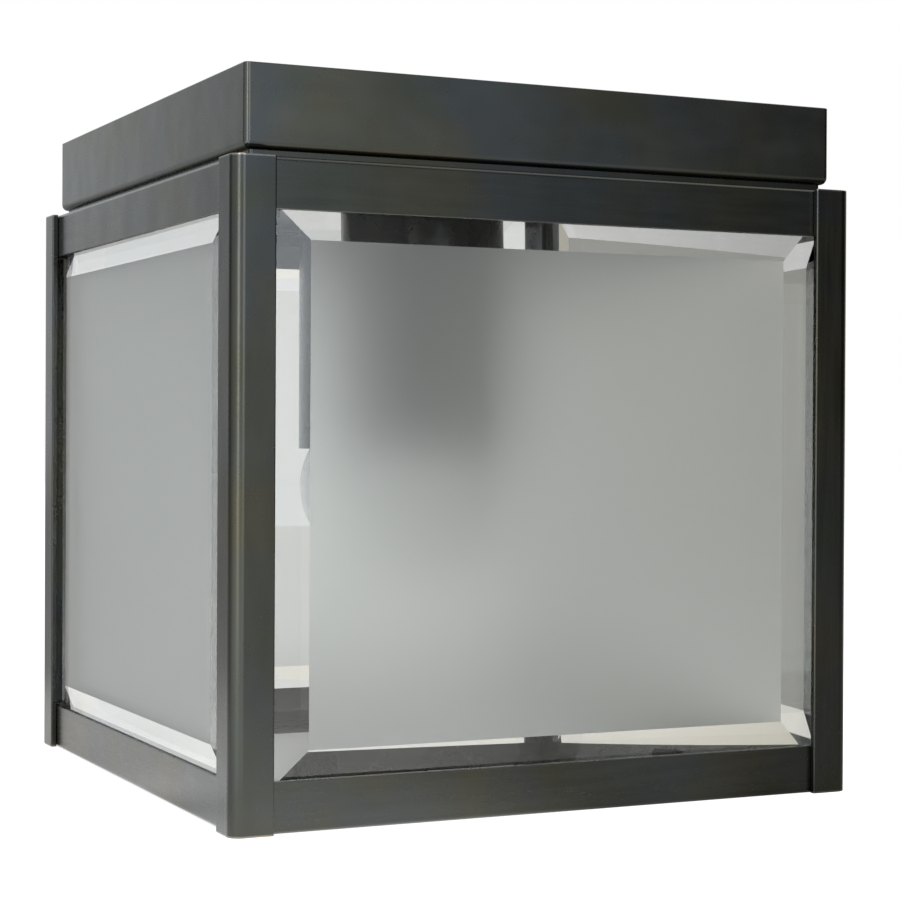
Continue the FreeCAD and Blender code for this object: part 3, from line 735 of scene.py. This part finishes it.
class LANTERN_OT_rails(bpy.types.Operator):
    """Top and bottom rails: angle with mitred ends, a hairline apart at each mitre"""

    bl_idname = "lantern.rails"
    bl_label = "Rails"

    def execute(self, context):
        sizes = context.scene.lantern_sizes
        wall, height = sizes.rail_wall, RAIL_HIGH.z - RAIL_LOW.z
        leg = RAIL_HIGH.y - RAIL_LOW.y
        corners = [(0, 0), (leg, 0), (leg, -wall), (wall, -wall), (wall, -height), (0, -height)]
        radii = [sizes.rail_corner, 0.0004, 0.0004, 0.0008, 0.0004, 0.0005]
        points, normals, ridge = rounded_section(corners, radii)
        seam, mitre_rounding = 0.00008, 0.0002
        # Edge values per corner: real wear, and from 0.2 up also the burnished colour, a painted highlight.
        # The top outer edge's 0.62 paints the bright line along the rail's top.
        rubbed = np.repeat(np.array([0.62, 0.2, 0.1, 0.0, 0.2, 0.38]), ARC_STEPS + 1)
        section = points, normals, ridge * rubbed

        def ends(spots):
            reach = RAIL_FACE - spots[:, 0] - seam
            return -reach, reach

        for level, z0, upward in (("top", FRAME_TOP, 1.0), ("bottom", FRAME_BOTTOM, -1.0)):
            place = self.placing(z0, upward)
            for turns, side in enumerate(SIDES):
                offset = 0.9 * turns + (0.4 if level == "bottom" else 0.0)
                skin = bar(section, ends, place, (1, 0, 0), turns, mitre_rounding, offset)
                name = "%s_rail_%s" % (level, side)
                # The left rails take a 1.15 times brighter copy of the patina: painted light for the light
                # falling from the left.
                patina = dark_patina("left_patina", 1.15) if side == "left" else dark_patina()
                keep(skin.build(name + "_bar", patina), "root", "dark_brass", name)
        return {"FINISHED"}

    def placing(self, z0, upward):
        """Puts a section point at s along X, its own x behind the face and its own y above or below z0."""
        def place(spots, s):
            return np.column_stack([s, spots[:, 0] - RAIL_FACE, z0 + upward * spots[:, 1]])
        return place


class LANTERN_OT_canopy(bpy.types.Operator):
    """Canopy pan: one sheet drawn square, with soft corners and a soft lower edge"""

    bl_idname = "lantern.canopy"
    bl_label = "Canopy and roof plate"

    def execute(self, context):
        """A profile of (inset, height) corners is carried round a rounded square.

        The ring at inset w is a square of half side S - w with corner radius max(R - w, small), where
        S and R are the pan's half side and corner radius.
        """
        sizes = context.scene.lantern_sizes
        half, top, low = CANOPY_HIGH.x, CANOPY_HIGH.z, CANOPY_LOW.z
        sheet = sizes.canopy_sheet
        corners = [(0, top), (0, low), (half, low), (half, low + sheet), (sheet, low + sheet), (sheet, top)]
        radii = [0.0005, sizes.canopy_edge, 0.0, 0.0, 0.0008, 0.0005]
        outline, normals, ridge = rounded_section(corners, radii, FINE_ARC_STEPS)
        around = [self.ring(half - inset, sizes.canopy_corner - inset) for inset in outline[:, 0]]
        rings, facings, corner = [np.array(part) for part in zip(*around)]
        heights = np.repeat(outline[:, 1:2], rings.shape[1], 1)
        points = np.concatenate([rings, heights[..., None]], 2)
        out = -normals[:, :1, None] * facings
        up = np.repeat(normals[:, 1:2], rings.shape[1], 1)[..., None]
        # The top edge's 0.35 is real wear with a painted burnished sheen; the corners' 0.15 stays below where
        # the burnished colour begins.
        rubbed = ridge * np.where(outline[:, 1] > (top + low) / 2, 0.35, 0.0)
        wear = np.maximum(np.repeat(rubbed[:, None], rings.shape[1], 1), corner * 0.15)
        edge = np.repeat(run_along(rings[0])[None], len(rings), 0)
        grain = np.stack([edge, heights, np.full_like(heights, 5.0)], 2)
        skin = Skin()
        skin.add_grid(points, np.concatenate([out, up], 2), wear, grain, close_along=True)
        # The pan takes a 1.38 times brighter copy of the frame's patina: painted light.
        keep(skin.build("canopy_pan", dark_patina("canopy_patina", 1.38)), "root", "dark_brass", "canopy")
        dress(dark_patina(), "roof_plate")
        return {"FINISHED"}

    def ring(self, size, radius):
        """Square of half side size with corners of radius, or of small_radius inside the pan's corners."""
        small_radius, nothing = 0.0006, 1e-6
        if size < nothing:
            count = 4 * (FINE_ARC_STEPS + 1)
            return np.zeros((count, 2)), np.zeros((count, 2)), np.zeros(count)
        square = [(-size, -size), (size, -size), (size, size), (-size, size)]
        return rounded_section(square, [min(max(radius, small_radius), size)] * 4, FINE_ARC_STEPS)


class LANTERN_OT_glazing(bpy.types.Operator):
    """Panes, their setting blocks and their clips"""

    bl_idname = "lantern.glazing"
    bl_label = "Panes and clips"

    def execute(self, context):
        dress(bevelled_glass(), *["pane_" + side for side in SIDES])
        dress(dark_patina(), *["pane_clips_" + side for side in SIDES])
        dress(plain_brass(), "clip_screws")
        dress(moulded("black_rubber", 0.030, 0.030, 0.030, 0.8), "clip_pads", "setting_blocks")
        return {"FINISHED"}


class LANTERN_OT_can(bpy.types.Operator):
    """Round can that hides the lampholder, with a rolled rim"""

    bl_idname = "lantern.can"
    bl_label = "Can"

    def execute(self, context):
        sizes = context.scene.lantern_sizes
        radius, top, low, sheet = CAN_HIGH.x, CAN_HIGH.z, CAN_LOW.z, sizes.can_sheet
        nipple_hole, inside = 0.0052, radius - sheet
        profile = [(nipple_hole, top), (radius, top), (radius, low), (inside, low)]
        profile += [(inside, top - sheet), (nipple_hole, top - sheet)]
        radii = [0.0002, 0.0010, 0.0005, 0.0005, 0.0010, 0.0002]
        # Level 0.5 paints shade: the can's patina is darkened for the shade under the roof plate. The 0.8 on
        # its rounded rims gives them the burnished sheen too.
        can = revolved(profile, radii, dark_patina("blackened_can", 0.5), "round_can", 128, 5, 2.3, 0.8)
        keep(can, "root", "dark_brass", "socket_can")
        return {"FINISHED"}


class LANTERN_OT_lampholder(bpy.types.Operator):
    """Lampholder: spun cap, porcelain body, screw shell and contact, on its nipple"""

    bl_idname = "lantern.lampholder"
    bl_label = "Lampholder"

    def execute(self, context):
        low, high = HOLDER_LOW.z, HOLDER_HIGH.z
        lip, bore, spigot, shoulder, waist = HOLDER_HIGH.x, 0.0146, 0.0156, 0.0190, 0.0210
        spigot_low, bore_top = high - 0.004, low + 0.030
        profile = [(0.0, high), (spigot, high), (spigot, spigot_low), (shoulder, spigot_low)]
        profile += [(shoulder + 0.0006, high - 0.006), (waist, low + 0.009), (lip, low + 0.006), (lip, low)]
        profile += [(bore, low), (bore, bore_top), (0.0, bore_top)]
        radii = [0.0, 0.0006, 0.0004, 0.0008, 0.0010, 0.0010, 0.0012, 0.0014, 0.0008, 0.0008, 0.0]
        body = revolved(profile, radii, porcelain(), "porcelain_body", 96, 4)
        keep(body, "root", "porcelain", "lampholder_body")
        dress(plain_brass(), "nipple", "nipple_locknuts", "lampholder_cap", "screw_shell",
              "centre_contact", "lampholder_screws")
        return {"FINISHED"}


class LANTERN_OT_bulb(bpy.types.Operator):
    """Globe bulb: opal globe, threaded cap, black insulator and contact"""

    bl_idname = "lantern.bulb"
    bl_label = "Bulb"

    def execute(self, context):
        self.globe()
        self.cap(context.scene.lantern_sizes.thread_pitch)
        dress(rolled_aluminium(), "bulb_collar")
        dress(black_glass(), "bulb_insulator")
        dress(zinc_steel(), "bulb_contact")
        return {"FINISHED"}

    def globe(self):
        """Half outline: a neck, a fillet tangent to it and to the ball, then the ball's arc.

        With ball radius R, fillet radius F and neck radius N, the fillet's centre is N + F from
        the axis and sqrt((R + F)^2 - (N + F)^2) above the ball's centre.
        """
        ball, fillet, neck = GLOBE_HIGH.x, 0.025, 0.0135
        centre = GLOBE_LOW.z + ball
        rise = math.sqrt((ball + fillet) ** 2 - (neck + fillet) ** 2)
        lean = math.atan2(rise, neck + fillet)
        fillet_turn = np.linspace(math.pi, math.pi + lean, 12)
        ball_turn = np.linspace(lean, -math.pi / 2, 40)
        r = np.concatenate([[0.0, neck], neck + fillet + fillet * np.cos(fillet_turn),
                            ball * np.cos(ball_turn)[1:]])
        z = np.concatenate([[GLOBE_HIGH.z] * 2, centre + rise + fillet * np.sin(fillet_turn),
                            centre + ball * np.sin(ball_turn)[1:]])
        nr = np.concatenate([[0.0, 1.0], -np.cos(fillet_turn), np.cos(ball_turn)[1:]])
        nz = np.concatenate([[1.0, 0.0], -np.sin(fillet_turn), np.sin(ball_turn)[1:]])
        points, normals = spun(np.column_stack([r, z]), np.column_stack([nr, nz]), 96)
        skin = Skin()
        skin.add_grid(points, normals, 0.0, points * 0.0)
        keep(skin.build("opal_globe", opal_glass()), "bulb", "opal_glass", "bulb_globe")

    def cap(self, pitch):
        """Rolled thread: radius R - d (1 - cos(2 pi (z / pitch - t / 2 pi))) / 2 at height z and turn t."""
        low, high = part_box("bulb_cap")
        radius, depth, run_out, wall = high.x, 0.0008, 0.0015, 0.024
        slices, rows = 72, 90
        turn = np.linspace(0.0, 2 * math.pi, slices, endpoint=False)[None]
        z = np.linspace(high.z, low.z, rows)[:, None]
        ease = np.clip(np.minimum(high.z - z, z - low.z) / run_out, 0, 1)
        wave = 2 * math.pi * z / pitch - turn
        r = radius - ease * depth * (1 - np.cos(wave)) / 2
        slope = -ease * depth * np.sin(wave) * math.pi / pitch
        c, s = np.cos(turn), np.sin(turn)
        points = np.stack([r * c, r * s, z + 0 * r], 2)
        normals = np.stack([c + 0 * r, s + 0 * r, -slope], 2)
        skin = Skin()
        skin.add_grid(points, normals, 0.0, points * 0.0)
        inner = points * np.array([1.0 - wall, 1.0 - wall, 1.0])
        skin.add_grid(inner, -normals, 0.0, points * 0.0)
        for row in (0, -1):
            pair = np.stack([points[row], inner[row]])
            up = np.array([0, 0, 1.0 if row == 0 else -1.0])
            skin.add_grid(pair, np.broadcast_to(up, pair.shape), 0.0, pair * 0.0)
        keep(skin.build("threaded_cap", rolled_aluminium()), "bulb", "nickel_cap", "bulb_cap")


class LANTERN_OT_ceiling_fixings(bpy.types.Operator):
    """Crossbar, studs, nuts, washers and screws that hold the lantern together and up"""

    bl_idname = "lantern.ceiling_fixings"
    bl_label = "Ceiling fixings"

    def execute(self, context):
        dress(zinc_steel(), "crossbar", "mounting_studs", "stud_locknuts", "stud_washers",
              "roof_screws", "roof_nuts")
        dress(plain_brass(), "cap_nuts")
        return {"FINISHED"}


class LANTERN_OT_wiring(bpy.types.Operator):
    """Terminal block, earth stud and the leads inside the canopy"""

    bl_idname = "lantern.wiring"
    bl_label = "Wiring"

    def execute(self, context):
        dress(moulded("ivory_plastic", 0.74, 0.70, 0.58, 0.45), "terminal_block")
        dress(zinc_steel(), "block_screws")
        dress(plain_brass(), "terminal_screws", "earth_stud", "earth_nut")
        dress(moulded("black_insulation", 0.022, 0.022, 0.024, 0.35), "live_lead")
        dress(moulded("white_insulation", 0.78, 0.78, 0.76, 0.35), "neutral_lead")
        dress(moulded("green_insulation", 0.045, 0.26, 0.085, 0.35), "earth_lead")
        return {"FINISHED"}


# Levels round the studio as stops of (turn, level). Turn is 0 behind the lantern, 0.25 at its left,
# 0.5 in front, 0.75 at its right and 1 behind again. Low and high are the wall near the horizon and
# above. The far floor in glass is a share of the low wall in glass.
NEAR_FLOOR_IN_GLOSS = (
    (0.0, 0.5), (0.18, 0.6), (0.26, 0.9), (0.32, 0.5), (0.37, 1.1), (0.42, 1.2), (0.46, 1.0),
    (0.50, 0.4), (0.53, 0.05), (0.76, 0.0), (1.0, 0.4))
FAR_FLOOR_IN_GLOSS = (
    (0.0, 0.0), (0.24, 0.0), (0.28, 1.0), (0.34, 1.5), (0.42, 1.5), (0.48, 1.0), (0.52, 0.0),
    (0.74, 0.0), (0.78, 0.5), (0.97, 0.5), (1.0, 0.0))
FAR_FLOOR_IN_GLASS = ((0.0, 0.85), (0.24, 0.85), (0.34, 0.2), (0.50, 0.0), (0.80, 0.0), (0.84, 0.8))
SHADED_FLOOR_IN_GLOSS = ((0.0, 0.0), (0.575, 0.0), (0.60, 0.5), (0.74, 0.5), (0.80, 0.0))
LOW_WALL_IN_GLOSS = (
    (0.0, 1.15), (0.042, 1.15), (0.055, 0.1), (0.072, 0.15), (0.082, 0.5), (0.11, 0.5), (0.12, 0.1),
    (0.16, 0.1), (0.21, 1.0), (0.50, 1.0), (0.568, 1.0), (0.588, 0.0), (0.74, 0.0), (0.78, 0.5),
    (0.90, 0.75), (0.96, 1.0))
HIGH_WALL_IN_GLOSS = ((0.0, 1.0), (0.48, 0.9), (0.54, 0.35), (0.58, 0.1), (0.96, 0.65), (1.0, 1.0))
LOW_WALL_IN_GLASS = (
    (0.0, 1.0), (0.03, 1.0), (0.06, 0.5), (0.18, 0.6), (0.23, 1.0), (0.44, 1.0), (0.52, 0.4),
    (0.66, 0.4), (0.72, 0.9), (0.75, 0.9), (0.79, 0.3), (0.86, 0.2), (0.90, 0.6), (0.92, 0.9))
HIGH_WALL_IN_GLASS = ((0.0, 1.0), (0.45, 1.0), (0.60, 0.6), (0.90, 0.6), (1.0, 1.0))
NEAR_FLOOR_IN_GLASS = 0.13
NEAR_FLOOR_SQUARED = 0.14, 0.27  # squared distances between which the near floor becomes the far
FLOOR_GREY = 0.70                # how much light the floor sends back
FLOOR_REACH = 6.0                # from the lantern's axis to the floor's edge


class LANTERN_OT_stage(bpy.types.Operator):
    """Pale floor, white background, soft lamps and the camera"""

    bl_idname = "lantern.stage"
    bl_label = "Stage"

    def execute(self, context):
        stage = context.scene.lantern_stage
        context.scene.view_settings.view_transform = "Standard"
        self.floor(stage)
        self.surround(context, stage)
        self.lamp("window", (0.14, -3.0, 0.35), (0.75, 1.6), stage.window_power, (0.84, 0.91, 1.0))
        self.lamp("side", (-1.97, -2.26, 0.30), (0.6, 1.8), stage.side_power, (0.97, 0.97, 1.0))
        self.lamp("overhead", (-0.5, -1.4, 2.4), (1.6, 1.6), stage.overhead_power, (1.0, 0.95, 0.87))
        self.camera(context, stage)
        return {"FINISHED"}

    def floor(self, stage):
        """White to the camera, and to gloss and glass as bright as the studio is on each side."""
        material, f = new_finish("pale_floor")
        camera, gloss, glass = self.rays(f)
        x, y, _ = f.axes(f.place())
        near = (x * x + y * y).step(*NEAR_FLOOR_SQUARED, 1.0, 0.0)
        turn = self.turn(f, x, y)
        close = f.ramp(turn, *NEAR_FLOOR_IN_GLOSS)
        distant = f.ramp(turn, *FAR_FLOOR_IN_GLOSS)
        in_gloss = distant + near * (close - distant)
        beyond = f.ramp(turn, *LOW_WALL_IN_GLASS) * f.ramp(turn, *FAR_FLOOR_IN_GLASS)
        in_glass = beyond + near * (NEAR_FLOOR_IN_GLASS - beyond)
        shade = f.ramp(turn, *SHADED_FLOOR_IN_GLOSS)
        albedo = FLOOR_GREY - FLOOR_GREY * gloss * shade - 0.8 * FLOOR_GREY * glass * (1.0 - near)
        plain = f.node("ShaderNodeBsdfDiffuse", None, {"Color": albedo})
        glow = camera * stage.floor_white + gloss * in_gloss + glass * in_glass
        white = f.node("ShaderNodeEmission", None, {"Color": (1, 1, 1, 1), "Strength": glow})
        f.node_to_output(f.node("ShaderNodeAddShader", None, {0: plain, 1: white}))
        skin = Skin()
        corners = np.array([(-1, -1, 0), (1, -1, 0), (1, 1, 0), (-1, 1, 0)]) * FLOOR_REACH
        corners[:, 2] = FRAME_BOTTOM
        skin.add_cap(corners, (0, 0, 1), 0.0, corners * 0.0)
        skin.build("floor", material)

    def rays(self, f):
        """1 for rays of the camera, of gloss and of glass, each on its own."""
        camera, gloss, glass = [f.node("ShaderNodeLightPath", None, None, name) for name in (
            "Is Camera Ray", "Is Glossy Ray", "Is Transmission Ray")]
        return camera, gloss * (1.0 - glass), glass

    def turn(self, f, x, y):
        """Place round the lantern: 0 behind, 0.25 left, 0.5 in front, 0.75 right, 1 behind."""
        return f.node("ShaderNodeMath", {"operation": "ARCTAN2"}, {0: x, 1: 0.0 - y}) * (0.5 / math.pi) + 0.5

    def surround(self, context, stage):
        """White studio with dark screens at the right and behind the left, and a plain level of light."""
        world = bpy.data.worlds.new("surround")
        world.use_nodes = True
        world.cycles.sampling_method = "NONE"
        context.scene.world = world
        f = Finish(world.node_tree)
        camera, gloss, glass = self.rays(f)
        x, y, z = f.axes(f.node("ShaderNodeTexCoord", output=0))
        turn = self.turn(f, x, y)
        # x, y and z are a direction's parts, so the steps in z go up the wall and then to the white ceiling
        low, high = f.ramp(turn, *LOW_WALL_IN_GLOSS), f.ramp(turn, *HIGH_WALL_IN_GLOSS)
        screens = low + z.step(0.17, 0.32) * (high - low)
        screens = screens + z.step(0.52, 0.70) * (1.0 - screens)
        beyond, over = f.ramp(turn, *LOW_WALL_IN_GLASS), f.ramp(turn, *HIGH_WALL_IN_GLASS)
        through = beyond + z.step(0.45, 0.65) * (over - beyond)
        plain = 1.0 - camera - gloss - glass
        strength = camera + gloss * screens + glass * through + plain * stage.surround
        tint = f.blend(x.step(0.25, 0.60), opaque(stage.cool_side), opaque(stage.warm_side))
        daylight = gloss * (y < 0.0) * x.step(0.03, 0.14) * (1.0 - x.step(0.34, 0.46))
        tint = f.blend(daylight, tint, opaque(stage.daylight))
        colour = f.blend(camera, tint, (1, 1, 1, 1))
        f.node_to_output(
            f.node("ShaderNodeBackground", None, {"Color": colour, "Strength": strength}),
            "ShaderNodeOutputWorld")

    def lamp(self, name, place, size, power, colour):
        """Soft rectangular lamp that looks at the lantern's middle."""
        light = bpy.data.lights.new(name, "AREA")
        light.shape = "RECTANGLE"
        light.size, light.size_y = size
        light.energy = power
        light.color = colour
        lamp = bpy.data.objects.new(name, light)
        bpy.context.scene.collection.objects.link(lamp)
        lamp.location = place
        aim = Vector((0.0, 0.0, FRAME_MIDDLE)) - Vector(place)
        lamp.rotation_euler = aim.to_track_quat("-Z", "Y").to_euler()

    def camera(self, context, stage):
        """Camera turned by yaw from +Y, raised by pitch and leaned by roll."""
        yaw, pitch, roll = stage.camera_yaw, stage.camera_pitch, stage.camera_roll
        ahead = Vector((
            math.sin(yaw) * math.cos(pitch), math.cos(yaw) * math.cos(pitch), math.sin(pitch)))
        level = Vector((math.cos(yaw), -math.sin(yaw), 0.0))
        upright = level.cross(ahead)
        right = level * math.cos(roll) + upright * math.sin(roll)
        up = upright * math.cos(roll) - level * math.sin(roll)
        data = bpy.data.cameras.new("camera")
        data.sensor_width = 36.0
        data.lens = stage.lens
        data.clip_start = 0.01
        camera = bpy.data.objects.new("camera", data)
        context.scene.collection.objects.link(camera)
        turn = Matrix((right, up, -ahead)).transposed().to_4x4()
        camera.matrix_world = Matrix.Translation(Vector(stage.camera_place)) @ turn
        context.scene.camera = camera


OPERATORS = (
    LANTERN_OT_posts, LANTERN_OT_rails, LANTERN_OT_canopy, LANTERN_OT_glazing, LANTERN_OT_can,
    LANTERN_OT_lampholder, LANTERN_OT_bulb, LANTERN_OT_ceiling_fixings, LANTERN_OT_wiring,
    LANTERN_OT_stage,
)


class LANTERN_PT_pieces(bpy.types.Panel):
    """Lists the lantern's pieces, sizes, finishes and stage"""

    bl_idname = "LANTERN_PT_pieces"
    bl_label = "Box Lantern"
    bl_space_type = "VIEW_3D"
    bl_region_type = "UI"
    bl_category = "Lantern"

    def draw(self, context):
        for operator in OPERATORS:
            self.layout.operator(operator.bl_idname)
        for title in ("lantern_sizes", "lantern_finishes", "lantern_stage"):
            group = getattr(context.scene, title)
            box = self.layout.box()
            for name in group.__annotations__:
                box.prop(group, name)


GROUPS = {
    "lantern_sizes": LanternSizes,
    "lantern_finishes": LanternFinishes,
    "lantern_stage": LanternStage,
}
CLASSES = (*GROUPS.values(), *OPERATORS, LANTERN_PT_pieces)


def register():
    for cls in CLASSES:
        bpy.utils.register_class(cls)
    for name, group in GROUPS.items():
        setattr(bpy.types.Scene, name, PointerProperty(type=group))


def unregister():
    for name in GROUPS:
        delattr(bpy.types.Scene, name)
    for cls in reversed(CLASSES):
        bpy.utils.unregister_class(cls)


def main():
    """Registers the classes, then builds every group of pieces in order, then the stage."""
    register()
    bpy.ops.lantern.posts()
    bpy.ops.lantern.rails()
    bpy.ops.lantern.canopy()
    bpy.ops.lantern.glazing()
    bpy.ops.lantern.can()
    bpy.ops.lantern.lampholder()
    bpy.ops.lantern.bulb()
    bpy.ops.lantern.ceiling_fixings()
    bpy.ops.lantern.wiring()
    bpy.ops.lantern.stage()


if __name__ == "__main__":
    main()
